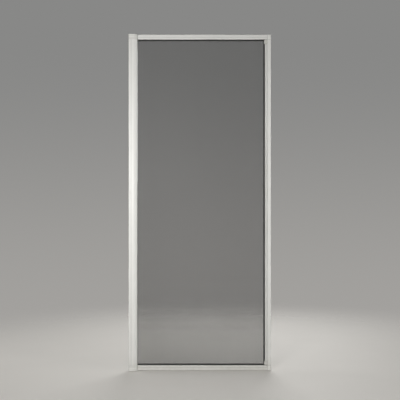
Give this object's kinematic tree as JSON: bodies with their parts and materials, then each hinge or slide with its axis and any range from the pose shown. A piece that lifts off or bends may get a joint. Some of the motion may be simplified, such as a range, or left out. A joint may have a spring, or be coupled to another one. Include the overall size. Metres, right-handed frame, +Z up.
{
  "type": "retractable screen door",
  "caption": "Retractable insect screen door: an upright roller cassette, a fine dark cloth drawn sideways between two rails, and a sliding pull bar that closes into a magnetic jamb.",
  "frame": {"origin": "the foot of the cassette's mounting face, midway across the cassette, in the plane of the wall or door frame that it is screwed to", "axes": "+X to the right as seen from the room, along the rails towards the jamb; +Y into the wall, square to the screen; +Z up"},
  "size_m": [0.89, 0.056, 2.1],
  "materials": {
    "coated_aluminium": "satin",
    "moulded_plastic": "satin",
    "screen_cloth": "matte",
    "pile": "matte",
    "magnet_strip": "matte",
    "dark_plastic": "matte",
    "plain_aluminium": "satin"
  },
  "bodies": {
    "frame": {"mounting_profile": "coated_aluminium", "cassette_housing": "coated_aluminium", "cassette_cover": "coated_aluminium", "cassette_top_cap": "moulded_plastic", "cassette_bottom_cap": "moulded_plastic", "cassette_front_pile": "pile", "cassette_rear_pile": "pile", "roller_tube": "plain_aluminium", "roller_top_plug": "dark_plastic", "roller_bottom_plug": "dark_plastic", "wound_screen": "screen_cloth", "screen_cloth": "screen_cloth", "top_rail": "coated_aluminium", "top_front_pile": "pile", "top_rear_pile": "pile", "bottom_rail": "coated_aluminium", "bottom_front_pile": "pile", "bottom_rear_pile": "pile", "jamb_profile": "coated_aluminium", "jamb_cover": "coated_aluminium", "jamb_magnet": "magnet_strip", "top_corner": "moulded_plastic", "bottom_corner": "moulded_plastic"},
    "pull_bar": {"pull_bar": "coated_aluminium", "cloth_spline": "dark_plastic", "bar_magnet": "magnet_strip", "bar_top_shoe": "moulded_plastic", "bar_bottom_shoe": "moulded_plastic"}
  },
  "joints": [
    {"name": "bar_slide", "type": "slide", "parent": "frame", "child": "pull_bar", "axis": [-1, 0, 0], "range_m": [0, 0.788], "deforming": ["screen_cloth"]}
  ]
}
